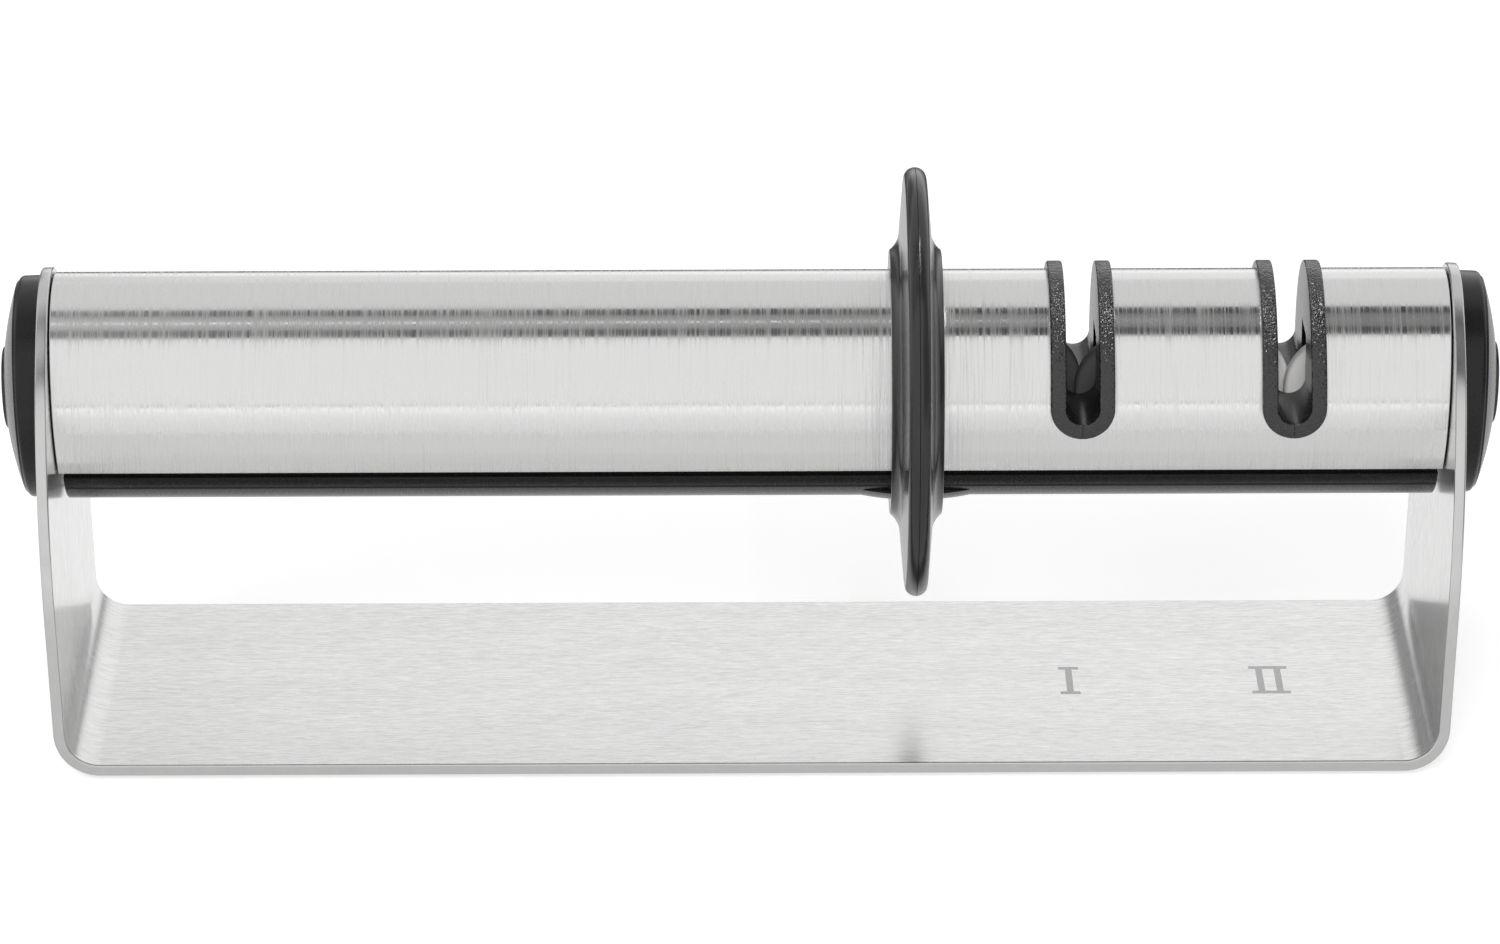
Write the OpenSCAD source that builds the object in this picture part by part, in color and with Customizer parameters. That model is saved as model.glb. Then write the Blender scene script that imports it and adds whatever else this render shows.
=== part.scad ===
// Pull-through knife sharpener for the worktop.
// One steel sheet, bent to a wide U, holds a steel tube between its uprights.
// The tube is the handle on the left and the sharpening head on the right,
// with a round hand guard between them and two slots with a pair of wheels each.
// The origin is the middle of the footprint on the worktop, X runs along the
// tube, the user stands at -Y and Z is up.

/* [Tube] */
// Outer diameter of the tube
tube_d = 40; // [37:0.5:42]
// Wall of the two steel shells
shell_wall = 1; // [0.7:0.1:1.2]

/* [Bracket] */
// Height of the tube's axis above the top of the base plate
axis_h = 57; // [52:1:70]
// Depth of the base plate from front to back
base_d = 77; // [72:1:90]
// Thickness of the bent sheet
sheet_t = 2; // [1.5:0.1:2.5]
// Inside radius of the two bends
bend_r = 6; // [4:0.5:8]
// Angle by which each upright leans outwards
spread = 2.35; // [0:0.05:4]
// Amount by which an upright's round top stands over the tube
top_margin = 0.8; // [0.4:0.1:2]
// Radius of the upright's flanks, which widen it to the base
flank_r = 54; // [48:1:70]

/* [Feet] */
// Diameter of a foot pad
foot_d = 14; // [10:1:18]
// Thickness of a foot pad
foot_t = 1.2; // [0.8:0.1:2]
// Distance from the plate's front or back edge to a pad's centre
foot_inset = 12; // [10:1:16]

/* [Hand guard] */
// Place of the guard along the tube, from the middle
guard_x = 29.2; // [24:0.2:30]
// Diameter of the guard
guard_d = 76; // [68:1:84]
// Thickness of the guard's rim, both halves together
rim_t = 4; // [3:0.2:5]
// Diameter of the guard's hub
hub_d = 44.8; // [44:0.2:48]
// Width of the hub along the tube
hub_w = 9.2; // [8.8:0.2:11]
// Radius of the hollow flare between hub and disc
guard_fillet = 4.7; // [3:0.1:5.5]

/* [Slots] */
// Clear width of a knife slot
slot_w = 5.8; // [5:0.1:6.4]
// Place of the coarse slot along the tube, from the middle
slot_x = 58; // [56:0.5:64]
// Distance from the coarse slot to the fine slot
slot_pitch = 37; // [36.8:0.1:46]
// Depth of the slot's floor below the tube's axis
slot_drop = 0.5; // [0:0.1:1]
// Wall of the slot liner inside the tube
liner_wall = 1.2; // [1:0.1:1.4]
// Width of the liner's bezel outside the tube
bezel_w = 11.3; // [10.5:0.1:12]
// Amount by which the bezel stands over the tube
bezel_h = 1.4; // [1:0.1:2]

/* [Wheels] */
// Diameter of a sharpening wheel
wheel_d = 18.8; // [18:0.1:20]
// Thickness of a sharpening wheel
wheel_t = 3.6; // [3:0.1:3.9]
// Chamfer on a wheel's two edges
wheel_chamfer = 0.5; // [0.2:0.1:0.9]
// Sideways distance of an axle from the middle of its slot
axle_out = 8.8; // [8.6:0.1:9]
// Depth of the axles below the tube's axis
axle_drop = 0.5; // [0:0.1:0.6]
// Diameter of an axle
axle_d = 4; // [3:0.1:5]
// Length of an axle
axle_len = 18; // [16:0.5:20]
// Gap between the front and the rear wheel of a pair
wheel_gap = 0.3; // [0.2:0.1:0.5]
// Length of the wheel chamber from front to back
chamber_d = 10; // [9.6:0.1:11]
// Diameter of the spacer sleeves
sleeve_d = 6.8; // [6.2:0.1:8]

/* [Ends] */
// Diameter of an end cap
cap_d = 39.2; // [36:0.2:41]
// Height of the cap's straight side
cap_side = 4.1; // [3.6:0.1:5]
// Height of the cap at the edge of its disc
cap_h = 7.1; // [6.6:0.1:8]
// Radius of the edge between the cap's side and its dome
cap_edge_r = 0.9; // [0.4:0.1:1.5]
// Wall of the cap
cap_wall = 2; // [1.5:0.1:2.4]
// Diameter of the disc in the middle of the cap
disc_d = 14.4; // [13:0.2:16]
// Thickness of the disc
disc_t = 1.7; // [1.4:0.1:2]
// Depth of the disc's recess in the cap
disc_recess = 1.2; // [0.9:0.1:1.3]
// Thickness of an end plug inside the tube
plug_t = 8; // [7:0.5:8.5]
// Diameter of the plug's spigot through the upright
spigot_d = 12; // [10:0.5:12.5]
// Diameter of the two pegs that stop the tube from turning
peg_d = 4; // [3:0.5:5]
// Distance of a peg from the tube's axis
peg_out = 12; // [11:0.5:13]

/* [Screws] */
// Shank diameter of an end screw
end_screw_d = 5; // [4:0.5:5.5]
// Head diameter of an end screw
end_head_d = 8.6; // [8:0.1:9]
// Head height of an end screw
end_head_h = 2.4; // [2:0.1:2.6]
// Length of an end screw under its head
end_screw_len = 12; // [10:0.5:12.5]
// Shank diameter of a rail screw
rail_screw_d = 2.5; // [2:0.1:2.6]
// Head diameter of a rail screw
rail_head_d = 5; // [4.6:0.1:5.4]
// Length of a rail screw under its head
rail_screw_len = 11; // [10:0.5:11.5]

/* [Hidden] */
$fn = 96;

// Clearance between fixed pieces that seat in each other
seat_fit = 0.1;
// Radial running clearance of a wheel on its axle
run_fit = 0.05;
// Gap between a steel shell's end and its upright
end_gap = 0.5;
// Extra length of every cut past the face that it opens
overrun = 1;
// Amount by which an upright's round top runs over its flank arcs, so that
// they cross cleanly
arc_overlap = 0.02;

// Tube and bracket
tube_r = tube_d / 2;
shell_in_r = tube_r - shell_wall;
core_r = shell_in_r - seat_fit;
base_top = foot_t + sheet_t;
axis_z = base_top + axis_h;
wheel_r = wheel_d / 2;
wheel_room = 0.6;
wheel_floor_gap = 0.5;
wheel_roof_gap = 1.1;
plug_margin = 0.5;
shell_drop = axle_drop + wheel_r + wheel_floor_gap;
chamber_top = wheel_r - axle_drop + wheel_roof_gap;
chamber_side = axle_out + wheel_r + wheel_room;
end_x = slot_x + slot_pitch + chamber_side + plug_margin + plug_t;
bracket_w = 2 * end_x;
top_r = tube_r + top_margin;
half_d = base_d / 2;
bend_z = base_top + bend_r;
upright_run = (axis_z - bend_z + bend_r * sin(spread)) / cos(spread);
bend_x = end_x - bend_r * cos(spread) - upright_run * sin(spread);
upright_len = upright_run + top_r + overrun;
flank_drop = sqrt(pow(flank_r - top_r, 2) - pow(flank_r - half_d, 2));
flank_meet = top_r * flank_drop / (flank_r - top_r);
side_len = axis_z - flank_drop;
foot_x = bend_x - foot_inset;
foot_y = half_d - foot_inset;

// Rail under the tube
rail_top = shell_drop;
rail_neck_h = 1.4;
rail_neck_w = 29;
rail_end_gap = 0.65;
rail_corner_r = 2.2;
rail_crease_w = 0.6;
rail_crease_angle = 46;
core_floor = shell_drop - seat_fit;

// Inner spar of the handle
joint_gap = 0.5;
core_wall = 2.4;
rib_t = 2;
rib_count = 4;
handle_end_x = guard_x - joint_gap;
head_start_x = guard_x + joint_gap;
spar_start = -(end_x - plug_t - seat_fit);
spar_len = handle_end_x - spar_start;
bay_len = (spar_len - (rib_count + 1) * rib_t) / rib_count;

// Guard
guard_r = guard_d / 2;
hub_r = hub_d / 2;
bore_r = tube_r + seat_fit;
rim_half = rim_t / 2;
web_rise = 0.75;
web_half = rim_half + web_rise;
hub_half = hub_w / 2;
hub_edge = 0.4;
flare_over = max(0, web_half + guard_fillet - hub_half);
flare_r = hub_r + guard_fillet - sqrt(pow(guard_fillet, 2) - pow(flare_over, 2));
key_len = 19.3;
key_h = 0.95;
key_angle = 38;
key_pocket_angle = 39;
key_r = (key_len * key_len / 4 + key_h * key_h) / (2 * key_h);

// Slots, chamber and wheels
slot_r = slot_w / 2;
liner_r = slot_r + liner_wall;
seat_r = liner_r + seat_fit;
bezel_r = bezel_w / 2;
bezel_out_r = tube_r + bezel_h;
bezel_in_r = tube_r + seat_fit / 2;
slot_axis = slot_r - slot_drop;
slots = [slot_x, slot_x + slot_pitch];
axle_r = axle_d / 2;
wheel_bore_r = axle_r + run_fit;
wheel_z = axis_z - axle_drop;
wheel_y = (wheel_t + wheel_gap) / 2;
chamber_half = chamber_d / 2;
face_gap = seat_fit;
sleeve_r = sleeve_d / 2;
washer_t = chamber_half - wheel_y - wheel_t / 2 - 2 * face_gap;
sleeve_len = chamber_half + wheel_y - wheel_t / 2 - 2 * face_gap;

// Ends
cap_r = cap_d / 2;
cap_floor = cap_h - disc_recess;
disc_r = disc_d / 2;
recess_r = disc_r + seat_fit;
dome_dx = cap_h - cap_side;
dome_c = (pow(cap_r, 2) + pow(cap_side, 2) - pow(recess_r, 2) - pow(cap_h, 2)) / (2 * dome_dx);
dome_r = sqrt(pow(recess_r, 2) + pow(cap_h + dome_c, 2));
end_head_r = end_head_d / 2;
end_screw_r = end_screw_d / 2;
head_seat = cap_floor - end_head_h - seat_fit;
spigot_r = spigot_d / 2;
spigot_out = 1;
boss_r = spigot_r + cap_wall;
peg_r = peg_d / 2;
plug_back = end_x - plug_t;
driver_r = end_head_r / 2;
driver_h = end_head_h / 2;

// Rail screws
rail_screw_r = rail_screw_d / 2;
rail_head_r = rail_head_d / 2;
rail_head_h = rail_head_r - rail_screw_r;
rail_head_sink = 1;
handle_screw_share = 0.33;
screw_places = [
    -(end_x - plug_t / 2),
    -end_x * handle_screw_share,
    guard_x + hub_half + rail_head_r + joint_gap,
    end_x - plug_t / 2,
];

// Puts a shape drawn in the plane of Y and Z along X from x0 to x1
module along_x(x0, x1) {
    translate([x0, 0, axis_z])
    rotate([90, 0, 90])
    linear_extrude(x1 - x0) children();
}

// Puts a shape drawn in the plane of X and Z along Y, centred
module along_y(length) {
    translate([0, length / 2, axis_z])
    rotate([90, 0, 0])
    linear_extrude(length) children();
}

// Turns a profile of radius and height about the tube's axis
module about_tube(x0) {
    translate([x0, 0, axis_z])
    rotate([0, 90, 0])
    rotate_extrude() children();
}

// Turns a profile of radius and length about the tube's axis, half the angle
// to each side of the lowest line, at the guard
module about_bottom(half_angle) {
    translate([guard_x, 0, axis_z])
    rotate([0, 90, 0])
    rotate(-half_angle)
    rotate_extrude(angle = 2 * half_angle) children();
}

// Frame of an upright: X points out of its face, from the inner face at the axis
module at_end(side) {
    mirror([side < 0 ? 1 : 0, 0, 0])
    translate([end_x, 0, axis_z])
    rotate([0, spread, 0])
    children();
}

// Straight pin or hole along an upright's X
module end_pin(r, x0, x1) {
    translate([x0, 0, 0])
    rotate([0, 90, 0])
    cylinder(r = r, h = x1 - x0);
}

// Everything past an upright's inner face, and past a gap before it
module beyond_end(side, gap) {
    at_end(side)
    translate([-gap, -tube_d, -tube_d])
    cube([plug_t + sheet_t, 2 * tube_d, 2 * tube_d]);
}

// Steel sheet seen from the front: base plate, two bends, two leaning uprights
module bracket_profile() {
    bend_out_r = bend_r + sheet_t;
    for (side = [0, 1])
        mirror([side, 0]) {
            translate([0, foot_t]) square([bend_x, sheet_t]);
            intersection() {
                translate([bend_x, bend_z])
                rotate(-spread)
                difference() {
                    circle(bend_out_r);
                    circle(bend_r);
                    translate([-2 * bend_out_r, 0]) square(4 * bend_out_r);
                    translate([-2 * bend_out_r, -2 * bend_out_r]) square(2 * bend_out_r);
                }
                translate([bend_x, 0]) square([2 * bend_out_r, bend_z + bend_r]);
            }
            translate([bend_x, bend_z])
            rotate(-spread)
            translate([bend_r, 0])
            square([sheet_t, upright_len]);
        }
}

// Outline of the bracket seen from the end, about the tube's axis: a round
// top, two wide flank arcs that run into it, and straight sides below
module upright_outline() {
    circle(top_r + arc_overlap);
    translate([0, -flank_drop]) {
        intersection() {
            translate([half_d - flank_r, 0]) circle(flank_r);
            translate([flank_r - half_d, 0]) circle(flank_r);
            translate([-base_d, 0]) square([2 * base_d, flank_drop + flank_meet]);
        }
        translate([-half_d, -side_len]) square([base_d, side_len]);
    }
}

module base_bracket() {
    color("silver")
    difference() {
        intersection() {
            translate([0, half_d, 0])
            rotate([90, 0, 0])
            linear_extrude(base_d) bracket_profile();
            along_x(-bracket_w, bracket_w) upright_outline();
        }
        for (side = [-1, 1])
            at_end(side) {
                end_pin(spigot_r + seat_fit, -overrun, sheet_t + overrun);
                for (y = [-peg_out, peg_out])
                    translate([0, y, 0]) end_pin(peg_r + seat_fit, -overrun, sheet_t + overrun);
            }
    }
}

module foot_pads() {
    color("dimgray")
    for (x = [-foot_x, foot_x], y = [-foot_y, foot_y])
        translate([x, y, 0]) cylinder(d = foot_d, h = foot_t);
}

// Section of a steel shell, open below
module shell_section() {
    intersection() {
        difference() {
            circle(tube_r);
            circle(shell_in_r);
        }
        translate([-tube_r, -shell_drop]) square([tube_d, shell_drop + tube_r]);
    }
}

// Section of what fills a shell, with a flat floor
module core_section(r, floor_drop) {
    intersection() {
        circle(r);
        translate([-r, -floor_drop]) square([2 * r, floor_drop + r]);
    }
}

// Knife slot seen from the front, round below and open above
module slot_shape(x, r) {
    translate([x, slot_axis]) circle(r);
    translate([x - r, slot_axis]) square([2 * r, tube_d]);
}

module handle_shell() {
    color("gainsboro")
    difference() {
        along_x(-end_x - overrun, handle_end_x) shell_section();
        beyond_end(-1, end_gap);
    }
}

module head_shell() {
    color("gainsboro")
    difference() {
        along_x(head_start_x, end_x + overrun) shell_section();
        beyond_end(1, end_gap);
        for (x = slots)
            along_y(2 * tube_d) slot_shape(x, seat_r);
    }
}

// Section of the rail: a neck under the cores and a round underside
module rail_section() {
    translate([-rail_neck_w / 2, -rail_top - 2 * rail_neck_h])
    square([rail_neck_w, 2 * rail_neck_h]);
    difference() {
        intersection() {
            circle(tube_r);
            translate([-tube_r, -tube_r]) square([tube_d, tube_r - rail_top - rail_neck_h]);
        }
        for (side = [-1, 1])
            rotate(-90 + side * (90 - rail_crease_angle))
            translate([tube_r, 0])
            rotate(45)
            square(rail_crease_w, center = true);
    }
}

// Lower corner of the rail's end, taken off to a quarter round
module rail_corner(x, side) {
    translate([x, 0, axis_z])
    mirror([side < 0 ? 1 : 0, 0, 0])
    rotate([90, 0, 0])
    linear_extrude(2 * tube_d, center = true)
    difference() {
        translate([-rail_corner_r, -tube_r - overrun]) square(rail_corner_r + overrun);
        translate([-rail_corner_r, -tube_r + rail_corner_r]) circle(rail_corner_r);
    }
}

// Bore and countersink of a rail screw, from below
module rail_screw_hole(x) {
    translate([x, 0, axis_z - tube_r - overrun])
    cylinder(r = rail_head_r + seat_fit, h = overrun + rail_head_sink);
    translate([x, 0, axis_z - tube_r + rail_head_sink])
    cylinder(r1 = rail_head_r + seat_fit, r2 = rail_screw_r + seat_fit, h = rail_head_h);
    translate([x, 0, axis_z - tube_r])
    cylinder(r = rail_screw_r + seat_fit, h = rail_head_sink + rail_screw_len + seat_fit);
}

module bottom_rail() {
    rail_x = end_x - tube_r * sin(spread) - rail_end_gap;
    color("#2b2b2d")
    difference() {
        along_x(-rail_x, rail_x) rail_section();
        rail_corner(rail_x, 1);
        rail_corner(-rail_x, -1);
        for (x = screw_places) rail_screw_hole(x);
    }
}

module handle_core() {
    color("#3a3a3d")
    difference() {
        along_x(spar_start, handle_end_x) core_section(core_r, core_floor);
        for (i = [0 : rib_count - 1])
            along_x(spar_start + rib_t + i * (bay_len + rib_t),
                    spar_start + (i + 1) * (bay_len + rib_t))
            core_section(core_r - core_wall, core_floor - core_wall);
        for (x = screw_places) rail_screw_hole(x);
    }
}

// Room for the wheels below the slots, open towards the rail
module wheel_chamber() {
    translate([slots[0] - chamber_side, -chamber_half, axis_z - tube_r])
    cube([slot_pitch + 2 * chamber_side, chamber_d, tube_r + chamber_top]);
}

module head_core() {
    color("#3a3a3d")
    difference() {
        along_x(head_start_x, plug_back - seat_fit) core_section(core_r, core_floor);
        for (x = slots)
            along_y(2 * tube_d) slot_shape(x, seat_r);
        wheel_chamber();
        for (x = slots, side = [-1, 1])
            translate([x + side * axle_out, axle_len / 2 + seat_fit, wheel_z])
            rotate([90, 0, 0])
            cylinder(r = axle_r + run_fit / 2, h = axle_len / 2 + tube_r);
        for (x = screw_places) rail_screw_hole(x);
    }
}

// Half of the guard: hub, hollow flare, thin disc and rounded rim
module guard_half_profile() {
    difference() {
        union() {
            square([hub_r + guard_fillet, hub_half]);
            polygon([
                [0, 0],
                [guard_r - rim_half, 0],
                [guard_r - rim_half, rim_half],
                [hub_r + guard_fillet, web_half],
                [0, web_half],
            ]);
            intersection() {
                translate([guard_r - rim_half, 0]) circle(rim_half);
                square([guard_r, rim_half]);
            }
        }
        translate([hub_r + guard_fillet, web_half + guard_fillet]) circle(guard_fillet);
        translate([hub_r, web_half + guard_fillet]) square([2 * guard_fillet, hub_half]);
        translate([flare_r, hub_half]) rotate(45) square(sqrt(2) * hub_edge, center = true);
        translate([0, -overrun]) square([bore_r, hub_w]);
        translate([0, -hub_w]) square([2 * guard_r, hub_w]);
    }
}

// Saddle that bulges under the rail, grown by the given clearance
module key_saddle(half_angle, grow) {
    about_bottom(half_angle)
    intersection() {
        translate([tube_r + key_h - key_r, 0]) circle(key_r + grow, $fn = 6 * $fn);
        translate([bezel_in_r, -key_len / 2 - grow]) square([2 * key_h, key_len + 2 * grow]);
    }
}

module collar_half(side) {
    color("#343436")
    difference() {
        about_tube(guard_x)
        mirror([0, side < 0 ? 1 : 0]) guard_half_profile();
        key_saddle(key_pocket_angle, seat_fit);
    }
}

module collar_left_half() {
    collar_half(-1);
}

module collar_right_half() {
    collar_half(1);
}

module collar_key() {
    color("#2b2b2d") key_saddle(key_angle, 0);
}

// Channel of one slot with the bezel that laps over the shell
module slot_liner(x) {
    color("#3c3c3e")
    difference() {
        union() {
            intersection() {
                along_y(2 * tube_d) slot_shape(x, liner_r);
                along_x(x - bezel_w, x + bezel_w) circle(bezel_out_r);
            }
            intersection() {
                along_y(2 * tube_d) slot_shape(x, bezel_r);
                along_x(x - bezel_w, x + bezel_w)
                difference() {
                    circle(bezel_out_r);
                    circle(bezel_in_r);
                }
            }
        }
        along_y(2 * tube_d) slot_shape(x, slot_r);
        wheel_chamber();
    }
}

module slot_liner_coarse() {
    slot_liner(slots[0]);
}

module slot_liner_fine() {
    slot_liner(slots[1]);
}

// Ring about an axle, from y0 to y1
module axle_ring(x, r_in, r_out, y0, y1) {
    translate([x, y1, wheel_z])
    rotate([90, 0, 0])
    difference() {
        cylinder(r = r_out, h = y1 - y0);
        translate([0, 0, -overrun]) cylinder(r = r_in, h = y1 - y0 + 2 * overrun);
    }
}

// Sharpening wheel on the left (rear) or right (front) of a slot
module wheel(x, side) {
    translate([x + side * axle_out, -side * wheel_y + wheel_t / 2, wheel_z])
    rotate([90, 0, 0])
    rotate_extrude()
    polygon([
        [wheel_bore_r, 0],
        [wheel_r - wheel_chamfer, 0],
        [wheel_r, wheel_chamfer],
        [wheel_r, wheel_t - wheel_chamfer],
        [wheel_r - wheel_chamfer, wheel_t],
        [wheel_bore_r, wheel_t],
    ]);
}

module coarse_wheel_rear() {
    color("#6d6d70") wheel(slots[0], -1);
}

module coarse_wheel_front() {
    color("#6d6d70") wheel(slots[0], 1);
}

module fine_wheel_rear() {
    color("white") wheel(slots[1], -1);
}

module fine_wheel_front() {
    color("white") wheel(slots[1], 1);
}

module axle(x) {
    color("silver")
    translate([x, axle_len / 2, wheel_z])
    rotate([90, 0, 0])
    cylinder(r = axle_r, h = axle_len);
}

module coarse_axle_rear() {
    axle(slots[0] - axle_out);
}

module coarse_axle_front() {
    axle(slots[0] + axle_out);
}

module fine_axle_rear() {
    axle(slots[1] - axle_out);
}

module fine_axle_front() {
    axle(slots[1] + axle_out);
}

// Thin washer between each wheel and the near wall of the chamber
module thrust_washers() {
    color("ivory")
    for (x = slots, side = [-1, 1]) {
        outer = -side * (chamber_half - face_gap);
        inner = outer + side * washer_t;
        axle_ring(x + side * axle_out, wheel_bore_r, sleeve_r, min(outer, inner), max(outer, inner));
    }
}

// Sleeve that keeps each wheel away from the far wall of the chamber
module spacer_sleeves() {
    color("#3a3a3d")
    for (x = slots, side = [-1, 1]) {
        outer = side * (chamber_half - face_gap);
        inner = outer - side * sleeve_len;
        axle_ring(x + side * axle_out, wheel_bore_r, sleeve_r, min(outer, inner), max(outer, inner));
    }
}

// Plug in a tube end, with a spigot and two pegs through the upright
module end_plug(side) {
    color("#3a3a3d")
    difference() {
        union() {
            difference() {
                mirror([side < 0 ? 1 : 0, 0, 0])
                along_x(plug_back, end_x + overrun) core_section(core_r, core_floor);
                beyond_end(side, seat_fit);
            }
            at_end(side) {
                end_pin(spigot_r, -plug_t / 2, sheet_t + spigot_out);
                for (y = [-peg_out, peg_out])
                    translate([0, y, 0]) end_pin(peg_r, -plug_t / 2, sheet_t + spigot_out);
            }
        }
        at_end(side)
        end_pin(end_screw_r + run_fit, -2 * plug_t, sheet_t + 2 * spigot_out);
        for (x = screw_places) rail_screw_hole(x);
    }
}

module left_end_plug() {
    end_plug(-1);
}

module right_end_plug() {
    end_plug(1);
}

// Domed cap with a hollow inside, a boss and a seat for the screw head
module cap_profile() {
    difference() {
        union() {
            intersection() {
                square([cap_r - cap_edge_r, cap_h]);
                translate([0, -dome_c]) circle(dome_r);
            }
            square([cap_r, cap_side - cap_edge_r]);
            translate([cap_r - cap_edge_r, cap_side - cap_edge_r]) circle(cap_edge_r);
        }
        translate([0, cap_floor]) square([recess_r, cap_h]);
        translate([0, head_seat]) square([end_head_r + seat_fit, cap_h]);
        translate([0, -overrun]) square([end_screw_r + seat_fit, cap_h + overrun]);
        translate([0, -overrun]) square([spigot_r + seat_fit, overrun + spigot_out + seat_fit]);
        translate([boss_r, -overrun])
        square([cap_r - cap_wall - boss_r, overrun + cap_side - cap_wall]);
    }
}

module end_cap(side) {
    color("#2f2f31")
    at_end(side)
    translate([sheet_t, 0, 0])
    rotate([0, 90, 0])
    rotate_extrude() cap_profile();
}

module left_end_cap() {
    end_cap(-1);
}

module right_end_cap() {
    end_cap(1);
}

module cap_disc(side) {
    color("#3c3c3e")
    at_end(side)
    end_pin(disc_r, sheet_t + cap_floor, sheet_t + cap_floor + disc_t);
}

module left_cap_disc() {
    cap_disc(-1);
}

module right_cap_disc() {
    cap_disc(1);
}

// Screw that clamps cap, upright and plug together, under the disc
module end_screws() {
    color("silver")
    for (side = [-1, 1])
        at_end(side)
        difference() {
            union() {
                end_pin(end_head_r, sheet_t + head_seat, sheet_t + head_seat + end_head_h);
                end_pin(end_screw_r, sheet_t + head_seat - end_screw_len, sheet_t + head_seat);
            }
            end_pin(driver_r, sheet_t + head_seat + end_head_h - driver_h, sheet_t + cap_h);
        }
}

// Countersunk screws that hold the rail to the cores and plugs
module rail_screws() {
    color("silver")
    for (x = screw_places)
        translate([x, 0, axis_z - tube_r + rail_head_sink]) {
            cylinder(r1 = rail_head_r, r2 = rail_screw_r, h = rail_head_h);
            cylinder(r = rail_screw_r, h = rail_screw_len);
        }
}

base_bracket();
foot_pads();
handle_shell();
head_shell();
bottom_rail();
handle_core();
head_core();
collar_left_half();
collar_right_half();
collar_key();
slot_liner_coarse();
slot_liner_fine();
coarse_wheel_rear();
coarse_wheel_front();
fine_wheel_rear();
fine_wheel_front();
coarse_axle_rear();
coarse_axle_front();
fine_axle_rear();
fine_axle_front();
thrust_washers();
spacer_sleeves();
left_end_plug();
right_end_plug();
left_end_cap();
right_end_cap();
left_cap_disc();
right_cap_disc();
end_screws();
rail_screws();
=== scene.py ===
"""A pull-through knife sharpener: a steel tube held between the ends of one
bent steel sheet, with a handle, a hand guard and two knife slots."""
import math

import bmesh
import bpy
from mathutils import Matrix, Vector


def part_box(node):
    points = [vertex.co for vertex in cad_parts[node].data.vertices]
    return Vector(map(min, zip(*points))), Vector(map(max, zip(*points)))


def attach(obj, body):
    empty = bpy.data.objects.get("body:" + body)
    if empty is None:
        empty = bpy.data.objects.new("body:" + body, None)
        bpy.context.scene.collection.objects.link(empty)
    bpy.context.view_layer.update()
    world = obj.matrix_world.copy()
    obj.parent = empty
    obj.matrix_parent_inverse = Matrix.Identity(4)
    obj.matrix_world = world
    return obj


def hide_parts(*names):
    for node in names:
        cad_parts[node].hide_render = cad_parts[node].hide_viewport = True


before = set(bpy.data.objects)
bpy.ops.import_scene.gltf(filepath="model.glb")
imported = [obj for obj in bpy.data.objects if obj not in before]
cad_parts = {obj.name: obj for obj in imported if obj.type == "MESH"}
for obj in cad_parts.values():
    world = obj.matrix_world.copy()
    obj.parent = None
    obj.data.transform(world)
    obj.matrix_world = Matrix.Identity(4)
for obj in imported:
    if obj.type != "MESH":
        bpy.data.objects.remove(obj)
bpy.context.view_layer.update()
mm = 0.001


# Base bracket. One strip of 2 mm stainless sheet with round ends, belt ground
# along its length, deburred, and folded up at both ends so that the uprights
# lean outwards a little. Here too a flat blank is made, and a tree folds it.

tube_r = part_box("handle_shell")[1].y
axis_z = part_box("handle_shell")[1].z - tube_r
pad_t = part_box("foot_pads")[1].z
half_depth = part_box("base_bracket")[1].y
sheet_t = 2 * mm
fold_r = 6 * mm
lean = math.radians(2.35)
plug_t = 8 * mm
upright_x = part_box("right_end_plug")[0].x + plug_t
top_margin = 0.8 * mm
flank_r = 54 * mm
edge_r = 0.35 * mm
flat_rim = 0.25 * mm
plate_rows, fold_rows, web_rows, flank_rows, top_rows = 8, 24, 4, 40, 20
sharp_angle = math.radians(32)

plate_z = pad_t + sheet_t
fold_z = plate_z + fold_r
upright_run = (axis_z - fold_z + fold_r * math.sin(lean)) / math.cos(lean)
fold_x = upright_x - fold_r * math.cos(lean) - upright_run * math.sin(lean)
fold_angle = math.pi / 2 - lean
mid_r = fold_r + sheet_t / 2
fold_run = mid_r * fold_angle


def arc(cx, cy, r, start, end, steps):
    """Points of a circle's arc, angles in degrees."""
    turns = [math.radians(start + (end - start) * i / steps) for i in range(steps + 1)]
    return [(cx + r * math.cos(a), cy + r * math.sin(a)) for a in turns]


def blank_rows():
    """Rows of the flat blank from its middle to one round end: place along
    the strip, half its width there, and the outline's outward normal."""
    top_r = tube_r + top_margin
    drop = math.sqrt((flank_r - top_r) ** 2 - (flank_r - half_depth) ** 2)
    meet = math.degrees(math.atan2(drop, flank_r - half_depth))

    def along(z):
        rise = z - fold_z + mid_r * math.cos(fold_angle)
        return fold_x + fold_run + rise / math.sin(fold_angle)

    rows = [(fold_x * i / plate_rows, half_depth, 0, 1) for i in range(plate_rows + 1)]
    rows += [(fold_x + fold_run * i / fold_rows, half_depth, 0, 1) for i in range(1, fold_rows + 1)]
    foot = along(axis_z - drop)
    start = rows[-1][0]
    rows += [(start + (foot - start) * i / web_rows, half_depth, 0, 1) for i in range(1, web_rows + 1)]
    for angle in [meet * i / flank_rows for i in range(1, flank_rows + 1)]:
        a = math.radians(angle)
        y = half_depth - flank_r + flank_r * math.cos(a)
        rows.append((along(axis_z - drop + flank_r * math.sin(a)), y, math.sin(a), math.cos(a)))
    for angle in [meet + (90 - meet) * i / top_rows for i in range(1, top_rows + 1)]:
        a = math.radians(angle)
        y = top_r * math.cos(a)
        rows.append((along(axis_z + top_r * math.sin(a)), y, math.sin(a), math.cos(a)))
    return rows


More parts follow.
